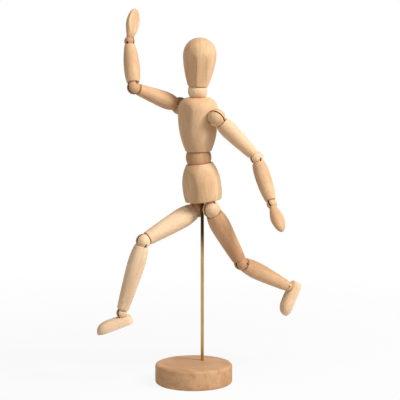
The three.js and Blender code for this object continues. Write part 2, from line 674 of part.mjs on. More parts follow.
// Stand
piece('base', base(), wood, mannequin);
const rodBottom = BASE_HEIGHT - ROD_BASE_DEPTH;
const rodLength = HIP_HEIGHT + PELVIS_BOTTOM + ROD_PELVIS_DEPTH - rodBottom;
const rod = new THREE.CylinderGeometry(ROD_RADIUS, ROD_RADIUS, rodLength, LIMB_SIDES);
rod.rotateX(Math.PI / 2).translate(0, ROD_BACK, rodBottom + rodLength / 2);
piece('support_rod', rod, brass, mannequin);

// Trunk and head
const figure = pivot('figure_turn', mannequin, [0, ROD_BACK, HIP_HEIGHT], [0, 0, FIGURE_TURN_ANGLE]);
const pelvisTurn = [PELVIS_LEAN.forwardAngle, PELVIS_LEAN.sideAngle, 0];
const hips = pivot('hips', figure, [0, HIP_BEHIND_ROD, 0], pelvisTurn);
piece('pelvis', pelvis(), wood, hips);
const waist = pivot('waist_bend', hips, [0, 0, WAIST_HEIGHT], [WAIST.bendAngle, WAIST.sideAngle, 0]);
piece('waist_ball', flatBall(WAIST_BALL, WAIST_FLAT), wood, waist);
const trunk = pivot('waist_turn', waist, [0, 0, 0], [0, 0, WAIST.turnAngle]);
piece('chest', chest(), wood, trunk);
const upright = spring(
  SEATED_SPRING + COIL_CLEAR,
  { hook: 'eye', roll: 90, ball: NECK_FLAT },
  { hook: null, roll: 90, ball: 0 },
  SEATED_TURNS,
).rotateX(Math.PI);
piece('waist_spring', upright, steel, trunk);
piece('waist_link', setWire('link', 0, -1).translate(0, 0, WAIST_HEIGHT), steel, hips);
const neck = pivot('neck_bend', trunk, [0, 0, NECK_HEIGHT], [NECK.bendAngle, NECK.sideAngle, 0]);
piece('neck_ball', flatBall(NECK_BALL, NECK_FLAT), wood, neck);
const face = pivot('head_turn', neck, [0, 0, 0], [0, 0, NECK.turnAngle]);
piece('head', head(), wood, face);
piece('head_spring', upright.clone(), steel, face);
piece('neck_link', setWire('link', 0, -1).translate(0, 0, NECK_HEIGHT), steel, trunk);

// Arms, pulled in by one spring across the chest
const slant = SHOULDER_SLANT / DEGREE;
const leftPlace = [SHOULDER_HALF, 0, LEFT_SHOULDER_HEIGHT];
const rightPlace = [-SHOULDER_HALF, 0, RIGHT_SHOULDER_HEIGHT];
const across = pivot('shoulder_line', trunk, leftPlace, [0, 90 + slant, 0]);
const crossSpring = spring(
  SHOULDER_SPAN,
  { hook: 'link', roll: 180 - LEFT_SHOULDER.rollAngle, ball: SHOULDER_BALL },
  { hook: 'link', roll: RIGHT_SHOULDER.rollAngle, ball: SHOULDER_BALL },
);
piece('shoulder_spring', crossSpring, steel, across);
const leftSocket = pivot('left_shoulder_socket', trunk, leftPlace, [0, slant - 90, 0]);
arm('left', leftSocket, LEFT_SHOULDER, LEFT_ELBOW, LEFT_WRIST);
const rightSocket = pivot('right_shoulder_socket', trunk, rightPlace, [0, slant + 90, 0]);
arm('right', rightSocket, RIGHT_SHOULDER, RIGHT_ELBOW, RIGHT_WRIST);

// Legs
const leftHip = pivot('left_hip_socket', hips, [HIP_HALF, 0, 0], [0, 0, 0]);
piece('left_hip_link', setWire('link', LEFT_HIP.rollAngle, 1), steel, leftHip);
leg('left', leftHip, LEFT_HIP, LEFT_KNEE, LEFT_ANKLE);
const rightHip = pivot('right_hip_socket', hips, [-HIP_HALF, 0, 0], [0, 0, 0]);
piece('right_hip_link', setWire('link', RIGHT_HIP.rollAngle, 1), steel, rightHip);
leg('right', rightHip, RIGHT_HIP, RIGHT_KNEE, RIGHT_ANKLE);

export default mannequin;
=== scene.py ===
import json

import bpy
import numpy as np
from mathutils import Matrix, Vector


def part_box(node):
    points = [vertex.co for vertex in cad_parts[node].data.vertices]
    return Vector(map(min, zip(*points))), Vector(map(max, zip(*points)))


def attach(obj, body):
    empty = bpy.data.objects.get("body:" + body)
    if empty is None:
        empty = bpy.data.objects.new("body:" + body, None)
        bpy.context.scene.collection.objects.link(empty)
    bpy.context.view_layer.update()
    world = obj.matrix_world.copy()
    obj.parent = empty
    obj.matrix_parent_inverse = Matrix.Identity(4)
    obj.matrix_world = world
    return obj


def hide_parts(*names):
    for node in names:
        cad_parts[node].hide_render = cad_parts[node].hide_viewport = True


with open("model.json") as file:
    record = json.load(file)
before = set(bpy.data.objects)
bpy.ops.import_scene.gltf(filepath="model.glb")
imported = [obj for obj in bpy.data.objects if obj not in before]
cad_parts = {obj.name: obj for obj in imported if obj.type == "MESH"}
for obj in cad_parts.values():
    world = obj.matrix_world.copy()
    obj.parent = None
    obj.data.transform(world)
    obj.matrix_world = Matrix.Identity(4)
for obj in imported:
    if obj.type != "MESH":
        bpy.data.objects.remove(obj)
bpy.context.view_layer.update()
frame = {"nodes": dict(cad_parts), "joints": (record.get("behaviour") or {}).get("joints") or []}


# Base
# A thick round disc of beech, browner than most of the figure, faced and edge-rounded on a
# lathe from a flat board, so its grain runs level. A blind hole behind its middle takes the
# support rod.

# sizes are in millimetres, and MM turns them into the frame's metres
MM = 0.001
FIT_GAP = 0.3
ROD_RADIUS = 1.5
BASE_RADIUS = 35.0
BASE_HEIGHT = 18.0
BASE_ROUND = 2.6
ROD_HOLE_FLOOR = 3.7
DRILL_START = 30.0
SHARP_ANGLE = np.radians(36)
# waves a millimetre along x, y and z of the grain, then the detail and roughness of the noise
BLOTCHES = ((0.06, 0.06, 0.025), 2.0, 0.5)
BANDS = ((0.3, 0.16, 0.014), 3.0, 0.6)
FIBRES = ((2.4, 2.4, 0.09), 5.0, 0.6)
FLECKS = ((1.7, 1.7, 0.28), 2.0, 0.5)
# between which values of its noise a mark comes up, and how strong it gets
BLOTCH_LIMITS = (0.34, 0.66)
BAND_LIMITS, BAND_SHARE = (0.45, 0.72), 0.5
STREAK_LIMITS, STREAK_SHARE = (0.45, 0.75), 0.4
RAY_LIMITS, RAY_SHARE = (0.6, 0.74), 0.34
# dark tone painted inside the saw cuts as painted shade
SLOT_SHADE_TONE = "57361D"
WOOD_ROUGHNESS = (0.46, 0.66)
WOOD_SPECULAR = 0.2
RELIEF_STRENGTH = 0.25
RELIEF_DEPTH = 0.1 * MM
GRAIN_STEP = 83.0
GRAIN_WAY = np.array([1.0, 0.61, 0.37])

joints = {joint["name"]: joint for joint in frame["joints"]}


def place_of(joint):
    """Where a joint's axis passes through its ball, in metres."""
    return np.array(joints[joint]["pos_m"])


def axis_of(joint):
    """Direction of a joint's axis."""
    return np.array(joints[joint]["axis"])


def unit(vector):
    """A vector divided by its length."""
    return vector / np.linalg.norm(vector)


def axes_from(across, up):
    """Columns x, y, z of a right-handed frame: z is up, x is what is left of across at a right
    angle to it."""
    z = unit(up)
    x = unit(across - z * (across @ z))
    return np.stack([x, np.cross(z, x), z], axis=1)


def rings(radius, height, sides=72):
    """Rings of a turned surface in millimetres: at angle a from the front (-y), x is radius times
    sin a, y is minus radius times cos a. The radius has one value for each ring, or one for each
    ring and angle."""
    angle = np.linspace(0, 2 * np.pi, sides, endpoint=False)
    radius = np.broadcast_to(np.reshape(radius, (len(height), -1)), (len(height), sides))
    level = np.broadcast_to(height[:, None], radius.shape)
    return np.stack([radius * np.sin(angle), -radius * np.cos(angle), level], axis=-1)


def skin(rows, loop=False):
    """Closed mesh over rows of rings. Each ring is joined to the next by four-sided faces. A loop
    joins the last ring to the first, round a bore; otherwise the first and the last ring are poles
    of one point."""
    count, sides = rows.shape[:2]
    if loop:
        points = rows.reshape(-1, 3)
        low = np.arange(count * sides).reshape(count, sides)
        high = np.roll(low, -1, axis=0)
        caps = []
    else:
        points = np.concatenate([rows[:1, 0], rows[1:-1].reshape(-1, 3), rows[-1:, 0]])
        grid = 1 + np.arange((count - 2) * sides).reshape(count - 2, sides)
        low, high = grid[:-1], grid[1:]
        first, last = grid[0], grid[-1]
        bottom = np.stack([np.zeros_like(first), np.roll(first, -1), first], axis=-1)
        top = np.stack([last, np.roll(last, -1), np.full_like(last, len(points) - 1)], axis=-1)
        caps = bottom.tolist() + top.tolist()
    faces = np.stack([low, np.roll(low, -1, axis=1), np.roll(high, -1, axis=1), high], axis=-1)
    mesh = bpy.data.meshes.new("skin")
    mesh.from_pydata(points.tolist(), [], faces.reshape(-1, 4).tolist() + caps)
    return mesh


def round_disc(radius, rounding, bottom, top, steps):
    """Radius and height of a disc or rod: out along its underside in steps, round the edge by a
    quarter circle, up the side, and the same way back along its top."""
    turn = np.linspace(0, np.pi / 2, 9)
    spread = np.linspace(0, radius - rounding, steps)[:-1]
    out = np.concatenate([spread, radius - rounding + rounding * np.sin(turn)])
    rise = np.concatenate([0 * spread, rounding * (1 - np.cos(turn))])
    return np.concatenate([out, out[::-1]]), np.concatenate([bottom + rise, top - rise[::-1]])


def linked(name, data):
    """New object in the scene that shows a mesh, a lamp or a camera."""
    thing = bpy.data.objects.new(name, data)
    bpy.context.scene.collection.objects.link(thing)
    return thing


def carve(mesh, cutters):
    """What is left of a closed mesh when closed cutters are taken out of it."""
    work = linked("work", mesh)
    tools = [linked("tool", cutter) for cutter in cutters]
    for tool in tools:
        cut = work.modifiers.new("cut", "BOOLEAN")
        cut.operation = "DIFFERENCE"
        cut.solver = "EXACT"
        cut.object = tool
    result = work.evaluated_get(bpy.context.evaluated_depsgraph_get())
    carved = bpy.data.meshes.new_from_object(result)
    for thing in [work, *tools]:
        data = thing.data
        bpy.data.objects.remove(thing)
        bpy.data.meshes.remove(data)
    return carved


def drill(radius, low, high, middle=(0.0, 0.0, 0.0), axes=np.eye(3), sides=40):
    """Straight round cutter along z of its axes, from low to high as measured from its middle."""
    rows = rings([0, radius, radius, 0], np.array([low, low, high, high]), sides)
    return skin(rows @ axes.T + np.array(middle))


def srgb(code):
    """Linear colour with full alpha of a hex code."""
    value = np.array([int(code[i : i + 2], 16) for i in (0, 2, 4)]) / 255
    linear = np.where(value <= 0.04045, value / 12.92, ((value + 0.055) / 1.055) ** 2.4)
    return (*linear.tolist(), 1.0)


def feed(tree, node, inputs):
    """Fills inputs of a node, by name or number: an output of another node is linked, a plain
    value is set."""
    for key, value in inputs.items():
        if isinstance(value, bpy.types.NodeSocket):
            tree.links.new(value, node.inputs[key])
        else:
            node.inputs[key].default_value = value


def added(tree, kind, inputs=None, **settings):
    """New node of a kind with its settings made and its inputs filled."""
    node = tree.nodes.new(kind)
    for name, value in settings.items():
        setattr(node, name, value)
    feed(tree, node, inputs or {})
    return node


def new_material(name):
    """New material, its node tree and its surface shader."""
    material = bpy.data.materials.new(name)
    material.use_nodes = True
    return material, material.node_tree, material.node_tree.nodes["Principled BSDF"]


def noise(tree, place, waves, detail, roughness=0.5):
    """Cloudy value from 0 to 1 over a place, with so many waves a unit along x, y and z."""
    stretch = added(tree, "ShaderNodeMapping", {"Vector": place, "Scale": waves})
    inputs = {
        "Vector": stretch.outputs["Vector"],
        "Scale": 1.0,
        "Detail": detail,
        "Roughness": roughness,
    }
    return added(tree, "ShaderNodeTexNoise", inputs).outputs["Fac"]


def ranged(tree, value, limits=(0.0, 1.0), ends=(0.0, 1.0), way="LINEAR"):
    """A value carried from between two limits to between two ends and held at the ends beyond;
    the way is straight, or for SMOOTHSTEP an S-shaped curve."""
    inputs = {
        "Value": value,
        "From Min": limits[0],
        "From Max": limits[1],
        "To Min": ends[0],
        "To Max": ends[1],
    }
    return added(tree, "ShaderNodeMapRange", inputs, interpolation_type=way).outputs["Result"]


def mixed(tree, amount, first, second):
    """The first colour where the amount is 0, the second where it is 1."""
    inputs = {"Factor": amount, "A": first, "B": second}
    return added(tree, "ShaderNodeMix", inputs, data_type="RGBA").outputs["Result"]


def beech_finish(name, light, dark, band, streak, ray):
    """Sanded beech: blotches between a light and a dark tone, soft growth bands, long fibre streaks
    and small brown ray flecks, all drawn out along z of the grain attribute, which holds
    millimetres in the piece's own frame. The fibres also give the bump and the roughness. Faces
    with the slot shade attribute, inside the saw cuts, are painted dark as painted shade."""
    material, tree, shader = new_material(name)
    grain = added(tree, "ShaderNodeAttribute", attribute_name="grain").outputs["Vector"]
    slot_shade = added(tree, "ShaderNodeAttribute", attribute_name="slot_shade").outputs["Fac"]
    fibre = noise(tree, grain, *FIBRES)
    blotch = ranged(tree, noise(tree, grain, *BLOTCHES), BLOTCH_LIMITS, way="SMOOTHSTEP")
    colour = mixed(tree, blotch, srgb(dark), srgb(light))
    for mark, limits, share, tone in (
        (noise(tree, grain, *BANDS), BAND_LIMITS, BAND_SHARE, band),
        (fibre, STREAK_LIMITS, STREAK_SHARE, streak),
        (noise(tree, grain, *FLECKS), RAY_LIMITS, RAY_SHARE, ray),
    ):
        amount = ranged(tree, mark, limits, (0.0, share), "SMOOTHSTEP")
        colour = mixed(tree, amount, colour, srgb(tone))
    relief = {"Height": fibre, "Strength": RELIEF_STRENGTH, "Distance": RELIEF_DEPTH}
    surface = {
        # inside the saw cuts the colour goes over to the dark tone as painted shade
        "Base Color": mixed(tree, slot_shade, colour, srgb(SLOT_SHADE_TONE)),
        "Roughness": ranged(tree, fibre, ends=WOOD_ROUGHNESS),
        "Specular IOR Level": WOOD_SPECULAR,
        "Normal": added(tree, "ShaderNodeBump", relief).outputs["Normal"],
    }
    feed(tree, shader, surface)
    return material


# from pale to brown, each with its light, dark, band, streak and ray tone
pale_beech = beech_finish("pale_beech", "F4D4AF", "E9C69E", "D8AE83", "C69B71", "9E7048")
cream_beech = beech_finish("cream_beech", "EDCAA2", "E0B990", "CDA176", "BB8E64", "93653E")
honey_beech = beech_finish("honey_beech", "E5BF95", "D6AC82", "C19368", "AF8157", "885A34")
tan_beech = beech_finish("tan_beech", "DEB48A", "CEA177", "B8885E", "A5764E", "805430")
brown_beech = beech_finish("brown_beech", "D6A97E", "C5956B", "AF7D54", "9B6B45", "784D2C")
made = []


def points_of(mesh):
    """Places of a mesh's points, one row for each."""
    points = np.empty(len(mesh.vertices) * 3, dtype=np.float32)
    mesh.vertices.foreach_get("co", points)
    return points.reshape(-1, 3).astype(float)


def smooth(mesh):
    """Shades a mesh smooth, apart from its sharp edges."""
    mesh.polygons.foreach_set("use_smooth", np.ones(len(mesh.polygons), dtype=bool))
    mesh.set_sharp_from_angle(angle=SHARP_ANGLE)


def wooden(node, mesh, axes, origin, body, finish=honey_beech, along=(0, 1, 2)):
    """Finished wooden piece for a CAD node. The mesh comes in millimetres in the piece's own frame.
    These places, in the order along and moved on for each piece, are kept as its grain attribute,
    and the mesh then goes to its place on the figure."""
    local = points_of(mesh)
    shift = GRAIN_STEP * (len(made) + 1) * GRAIN_WAY
    grain = mesh.attributes.new("grain", "FLOAT_VECTOR", "POINT")
    grain.data.foreach_set("vector", (local[:, along] + shift).astype(np.float32).ravel())
    placed = origin + MM * (local @ axes.T)
    mesh.vertices.foreach_set("co", placed.astype(np.float32).ravel())
    smooth(mesh)
    mesh.materials.clear()
    mesh.materials.append(finish)
    mesh.update()
    mesh.name = node + "_wood"
    piece = linked(node + "_wood", mesh)
    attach(piece, body)
    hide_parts(node)
    made.append(piece)


rod_foot = np.append(place_of("figure_turn")[:2] / MM, 0.0)
base_profile = round_disc(BASE_RADIUS, BASE_ROUND, 0.0, BASE_HEIGHT, steps=24)
rod_hole = drill(ROD_RADIUS + FIT_GAP, ROD_HOLE_FLOOR, DRILL_START, rod_foot)
base_disc = carve(skin(rings(*base_profile, sides=128)), [rod_hole])
wooden("base", base_disc, np.eye(3), np.zeros(3), "stand", brown_beech, along=(1, 2, 0))


# Support rod
# Drawn brass wire, 3 mm thick and cut to length, pushed into the base and up into the
# pelvis. It is dull and a little stained, and painted darker towards the figure: painted
# shade and painted reflection of the figure above it.

ROD_EDGE = 0.3
# waves a metre along x, y and z
BRASS_WAVES = (900.0, 900.0, 60.0)
BRASS_ROUGHNESS = (0.25, 0.4)
# heights in metres between which the rod is painted darker, as painted shade and reflection
ROD_SHADE_HEIGHTS = (0.112, 0.138)


def drawn_metal(name, waves, detail, dull, bright, roughness, upper=None, heights=None):
    """Drawn metal: stains between a dull and a bright tone, which also spread the roughness between
    two values. Where an upper tone of painted shade is given, the metal goes over to it between two
    heights."""
    material, tree, shader = new_material(name)
    place = added(tree, "ShaderNodeTexCoord").outputs["Object"]
    stain = noise(tree, place, waves, detail)
    colour = mixed(tree, stain, srgb(dull), srgb(bright))
    if upper:
        height = added(tree, "ShaderNodeSeparateXYZ", {"Vector": place}).outputs["Z"]
        amount = ranged(tree, height, heights, way="SMOOTHSTEP")
        colour = mixed(tree, amount, colour, srgb(upper))
    rough = ranged(tree, stain, ends=roughness)
    feed(tree, shader, {"Base Color": colour, "Metallic": 1.0, "Roughness": rough})
    return material


brass = drawn_metal(
    "dull_brass",
    BRASS_WAVES,
    detail=4.0,
    dull="8C6A3A",
    bright="DCB678",
    roughness=BRASS_ROUGHNESS,
    # the dark upper tone is painted shade and painted reflection of the figure above the rod
    upper="3A2815",
    heights=ROD_SHADE_HEIGHTS,
)
rod_low, rod_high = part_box("support_rod")
rod_profile = round_disc(ROD_RADIUS, ROD_EDGE, rod_low[2] / MM, rod_high[2] / MM, steps=2)
rod_mesh = skin(MM * (rings(*rod_profile, sides=32) + rod_foot))
smooth(rod_mesh)
rod_mesh.materials.append(brass)
rod = linked("brass_support_rod", rod_mesh)
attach(rod, "stand")
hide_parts("support_rod")


# Pelvis
# A turned block of beech with its front planed flat. Two shallow round seats underneath
# take the hip balls, a round dish on top takes the waist ball, and the rod goes up into it.

HIP_BALL = 8.0
WAIST_BALL = 11.6
LINK_BORE = 2.15
LINK_BORE_START = 2.0
LINK_BORE_END = 13.3
ROD_SOCKET_START = -6.0
ROD_SOCKET_DEPTH = 18.3
PELVIS_BOTTOM = 7.9
PELVIS_TOP = 41.8
PELVIS_WIDEST = 20.0
PELVIS_RADIUS = 17.6
PELVIS_BOTTOM_RADIUS = 16.6
PELVIS_TOP_RADIUS = 12.0
PELVIS_ROUND = 1.3
PELVIS_SWELL = 2.0
PELVIS_TAPER = 2.4
PELVIS_FRONT = 14.6
PLANED_EDGE = 0.7
GRAZING_SLOPE = 0.05
STRAIGHT_AHEAD = np.array([0.0, -1.0, 0.0])


def lower_block(bottom, rounding, bottom_radius, widest, radius, power, steps):
    """Radius and height up the lower part of a turned block: a quarter circle round the bottom
    edge, then the full radius less a power of the way down from the widest place."""
    turn = np.linspace(0, np.pi / 2, 7)[:-1]
    away = np.linspace(1, 0, steps)
    edge_radius = bottom_radius - rounding + rounding * np.sin(turn)
    edge_height = bottom + rounding * (1 - np.cos(turn))
    swell_radius = radius - (radius - bottom_radius) * away**power
    swell_height = widest - (widest - (bottom + rounding)) * away
    return np.append(edge_radius, swell_radius), np.append(edge_height, swell_height)


def climb(steps):
    """Shares of the way up from a widest place, as the sine of even steps, closest at the top."""
    return np.sin(np.linspace(0, np.pi / 2, steps))[1:]


def soft_least(first, second, blend):
    """The smaller of two values, rounded over where they are within the blend width of each
    other."""
    share = np.clip(0.5 + 0.5 * (second - first) / blend, 0, 1)
    return second * (1 - share) + first * share - blend * share * (1 - share)


def planed(radius, height, planes, blend, sides=120):
    """Rings of a turned shape that is planed flat. Each plane is an outward normal and a distance
    from the origin; along a level ray at angle a the radius stops where the ray meets the plane,
    with a slightly rounded edge."""
    angle = np.linspace(0, 2 * np.pi, sides, endpoint=False)
    ray = np.stack([np.sin(angle), -np.cos(angle)], axis=-1)
    limited = np.repeat(radius[:, None], sides, axis=1)
    for normal, distance in planes:
        slope = ray @ normal[:2]
        meets = slope > GRAZING_SLOPE
        reach = (distance - normal[2] * height)[:, None] / slope[meets]
        limited[:, meets] = soft_least(limited[:, meets], reach, blend)
    limited[radius == 0] = 0
    return rings(limited, height, sides)


def cup(ball, level, bore, steps):
    """Radius and depth, measured from the ball's middle, of a round seat from its rim, which lies
    at a level, in to its bore: the hollow times the sine and the cosine of the angle there."""
    hollow = ball + FIT_GAP
    turn = np.linspace(np.arccos(level / hollow), np.arcsin(bore / hollow), steps)
    return hollow * np.sin(turn), hollow * np.cos(turn)


def full_ball(radius, middle=(0.0, 0.0, 0.0), sides=64):
    """Closed ball about a middle: from pole to pole each ring has the radius times the cosine of
    the angle up from the equator, at the radius times its sine."""
    turn = np.linspace(-np.pi / 2, np.pi / 2, sides // 2 + 1)
    size = radius * np.cos(turn)
    size[[0, -1]] = 0
    return skin(rings(size, radius * np.sin(turn), sides) + np.array(middle))


hip_middle = (place_of("left_hip_tilt") + place_of("right_hip_tilt")) / 2
hip_across = place_of("left_hip_tilt") - place_of("right_hip_tilt")
hip_half = np.linalg.norm(hip_across) / 2 / MM
pelvis_up = place_of("waist_bend") - hip_middle
waist_height = np.linalg.norm(pelvis_up) / MM
pelvis_axes = axes_from(hip_across, pelvis_up)
under = np.linspace(0, PELVIS_BOTTOM_RADIUS - PELVIS_ROUND, 12)[:-1]
low_radius, low_height = lower_block(
    PELVIS_BOTTOM,
    PELVIS_ROUND,
    PELVIS_BOTTOM_RADIUS,
    PELVIS_WIDEST,
    PELVIS_RADIUS,
    PELVIS_SWELL,
    steps=20,
)
rise = climb(28)
high_radius = PELVIS_RADIUS - (PELVIS_RADIUS - PELVIS_TOP_RADIUS) * rise**PELVIS_TAPER
high_height = PELVIS_WIDEST + (PELVIS_TOP - PELVIS_WIDEST) * rise
seat_radius, seat_depth = cup(WAIST_BALL, waist_height - PELVIS_TOP, LINK_BORE, steps=12)
bore_end = waist_height - LINK_BORE_END
pelvis_radius = np.concatenate([under, low_radius, high_radius, seat_radius, [LINK_BORE, 0]])
pelvis_height = np.concatenate(
    [
        PELVIS_BOTTOM + 0 * under,
        low_height,
        high_height,
        waist_height - seat_depth,
        [bore_end, bore_end],
    ]
)
pelvis_front = [(STRAIGHT_AHEAD, PELVIS_FRONT)]
pelvis_block = skin(planed(pelvis_radius, pelvis_height, pelvis_front, PLANED_EDGE))
rod_level = np.append(rod_foot[:2] * MM, hip_middle[2])
rod_socket = drill(
    ROD_RADIUS + FIT_GAP,
    ROD_SOCKET_START,
    PELVIS_BOTTOM + ROD_SOCKET_DEPTH,
    (rod_level - hip_middle) @ pelvis_axes / MM,
    pelvis_axes.T,
)
pelvis_cutters = [rod_socket]
for hip_seat in ((-hip_half, 0.0, 0.0), (hip_half, 0.0, 0.0)):
    pelvis_cutters.append(full_ball(HIP_BALL + FIT_GAP, hip_seat))
    pelvis_cutters.append(drill(LINK_BORE, LINK_BORE_START, LINK_BORE_END, hip_seat))
wooden("pelvis", carve(pelvis_block, pelvis_cutters), pelvis_axes, hip_middle, "pelvis")


# Waist ball and neck ball
# Turned balls cut flat on top, where the chest and the head sit and turn on them. A hole
# through each, opened out at both ends, lets the hooks inside swing as the ball rolls in its
# seat.

BALL_HOLE = 2.7
HOLE_MOUTH = 4.1
FLARE_DEPTH = 3.0
FLAT_EDGE = 0.35
NECK_BALL = 8.75
WAIST_FLAT = 5.3
NECK_FLAT = 3.6


def flat_ball(radius, flat):
    """Radius and height of a ball round a hole: the arc from the lower mouth to just under the flat
    top, a small rounded edge, the flat, and the flared hole back down."""
    shoulder = flat - FLAT_EDGE
    arc = np.linspace(-np.arccos(HOLE_MOUTH / radius), np.arcsin(shoulder / radius), 36)
    rim = np.sqrt(radius**2 - shoulder**2)
    turn = np.linspace(0, np.pi / 2, 6)[1:]
    edge_size = rim - FLAT_EDGE + FLAT_EDGE * np.cos(turn)
    edge_level = shoulder + FLAT_EDGE * np.sin(turn)
    hole_size = [HOLE_MOUTH, BALL_HOLE, BALL_HOLE]
    hole_level = [flat, flat - FLARE_DEPTH, -FLARE_DEPTH]
    size = np.concatenate([radius * np.cos(arc), edge_size, hole_size])
    return size, np.concatenate([radius * np.sin(arc), edge_level, hole_level])


for node, radius, flat, bend_joint, turn_joint, finish in (
    ("waist_ball", WAIST_BALL, WAIST_FLAT, "waist_bend", "waist_turn", brown_beech),
    ("neck_ball", NECK_BALL, NECK_FLAT, "neck_bend", "head_turn", pale_beech),
):
    ball = skin(rings(*flat_ball(radius, flat)), loop=True)
    turned_axes = axes_from(axis_of(bend_joint), axis_of(turn_joint))
    wooden(node, ball, turned_axes, place_of(bend_joint), node, finish)


# Chest
# A turned block of beech with its breast planed flat, bored for the waist spring, for the
# neck's wire and from side to side for the shoulder spring. A round seat on each side takes
# a shoulder ball, the left one lower than the right.

SHOULDER_BALL = 8.0
COIL_BORE = 2.5
COIL_BORE_END = 24.3
CHEST_BOTTOM = WAIST_FLAT + FIT_GAP
CHEST_TOP = 54.1
CHEST_WIDEST = 42.0
CHEST_RADIUS = 18.1
CHEST_BOTTOM_RADIUS = 12.2
CHEST_TOP_RADIUS = 8.0
CHEST_ROUND = 1.4
CHEST_SWELL = 2.5
CHEST_DOME = 2.2
CHEST_FRONT = 16.2


def domed(share, power):
    """Share of the full radius that is left at a share of the way to the end of a rounded form: the
    root of one less a power of it."""
    return np.sqrt(np.maximum(0, 1 - share**power))


waist = place_of("waist_bend")
shoulder_across = place_of("left_shoulder_tilt") - place_of("right_shoulder_tilt")
chest_axes = axes_from(shoulder_across, axis_of("waist_turn"))
neck_height = (place_of("neck_bend") - waist) @ chest_axes[:, 2] / MM
left_seat = (place_of("left_shoulder_tilt") - waist) @ chest_axes / MM
right_seat = (place_of("right_shoulder_tilt") - waist) @ chest_axes / MM
low_radius, low_height = lower_block(
    CHEST_BOTTOM,
    CHEST_ROUND,
    CHEST_BOTTOM_RADIUS,
    CHEST_WIDEST,
    CHEST_RADIUS,
    CHEST_SWELL,
    steps=32,
)
rise = climb(32)
high_radius = CHEST_TOP_RADIUS + (CHEST_RADIUS - CHEST_TOP_RADIUS) * domed(rise, CHEST_DOME)
high_height = CHEST_WIDEST + (CHEST_TOP - CHEST_WIDEST) * rise
seat_radius, seat_depth = cup(NECK_BALL, neck_height - CHEST_TOP, LINK_BORE, steps=12)
bore_end = neck_height - LINK_BORE_END
coil_bore_radius = [0, COIL_BORE, COIL_BORE]
chest_radius = np.concatenate(
    [coil_bore_radius, low_radius, high_radius, seat_radius, [LINK_BORE, 0]]
)
chest_height = np.concatenate(
    [
        [COIL_BORE_END, COIL_BORE_END, CHEST_BOTTOM],
        low_height,
        high_height,
        neck_height - seat_depth,
        [bore_end, bore_end],
    ]
)
chest_front = [(STRAIGHT_AHEAD, CHEST_FRONT)]
chest_block = skin(planed(chest_radius, chest_height, chest_front, PLANED_EDGE))
seat_across = right_seat - left_seat
cross_axes = axes_from(np.array([0.0, 1.0, 0.0]), seat_across)
chest_cutters = [
    full_ball(SHOULDER_BALL + FIT_GAP, left_seat),
    full_ball(SHOULDER_BALL + FIT_GAP, right_seat),
    drill(COIL_BORE, 0.0, np.linalg.norm(seat_across), left_seat, cross_axes),
]
wooden("chest", carve(chest_block, chest_cutters), chest_axes, waist, "chest")


# Head
# A turned egg of beech, flat under the chin where it sits on the neck ball. Two planed
# faces meet in an upright ridge down the front. A bore from below takes the neck spring.

HEAD_BOTTOM = NECK_FLAT + FIT_GAP
HEAD_TOP = 47.6
HEAD_WIDEST = 31.5
HEAD_RADIUS = 14.95
HEAD_BOTTOM_RADIUS = 9.4
HEAD_ROUND = 1.3
HEAD_SWELL = 1.6
HEAD_DOME = 2.2
FACE_ANGLE = np.radians(20)
FACE_SLOPE = np.radians(12)
FACE_DEPTH = 11.9
FACE_HEIGHT = 20.0
FACE_EDGE = 0.25


def flat_faces(node, count):
    """Outward normals of the largest flat faces of a CAD node, largest first: triangles that point
    the same way to about a degree are added up by area."""
    mesh = frame["nodes"][node].data
    normals = np.empty(len(mesh.polygons) * 3)
    areas = np.empty(len(mesh.polygons))
    mesh.polygons.foreach_get("normal", normals)
    mesh.polygons.foreach_get("area", areas)
    rounded = np.round(normals.reshape(-1, 3), 2)
    ways, member = np.unique(rounded, axis=0, return_inverse=True)
    total = np.bincount(member.ravel(), weights=areas, minlength=len(ways))
    return [unit(ways[i]) for i in np.argsort(-total)[:count]]


neck = place_of("neck_bend")
head_up = axis_of("head_turn")
face_out = sum(flat_faces("head", 2))
head_axes = axes_from(np.cross(-face_out, head_up), head_up)
low_radius, low_height = lower_block(
    HEAD_BOTTOM,
    HEAD_ROUND,
    HEAD_BOTTOM_RADIUS,
    HEAD_WIDEST,
    HEAD_RADIUS,
    HEAD_SWELL,
    steps=80,
)
rise = climb(80)
high_radius = HEAD_RADIUS * domed(rise, HEAD_DOME)
high_radius[-1] = 0
high_height = HEAD_WIDEST + (HEAD_TOP - HEAD_WIDEST) * rise
coil_bore_height = [COIL_BORE_END, COIL_BORE_END, HEAD_BOTTOM]
head_radius = np.concatenate([coil_bore_radius, low_radius, high_radius])
head_height = np.concatenate([coil_bore_height, low_height, high_height])
face_across = np.cos(FACE_SLOPE) * np.sin(FACE_ANGLE)
face_ahead = np.cos(FACE_SLOPE) * np.cos(FACE_ANGLE)
face_planes = []
for across in (-face_across, face_across):
    normal = np.array([across, -face_ahead, -np.sin(FACE_SLOPE)])
    face_planes.append((normal, FACE_DEPTH + normal[2] * FACE_HEIGHT))
head_egg = skin(planed(head_radius, head_height, face_planes, FACE_EDGE, sides=216))
wooden("head", head_egg, head_axes, neck, "head")


# Limb balls
# Twelve turned beech balls. Each has two saw cuts at a right angle, a long one on one side
# and a short fanned one on the other, in which the hooks of the neighbouring springs swing.

SLOT_WIDTH = 1.3
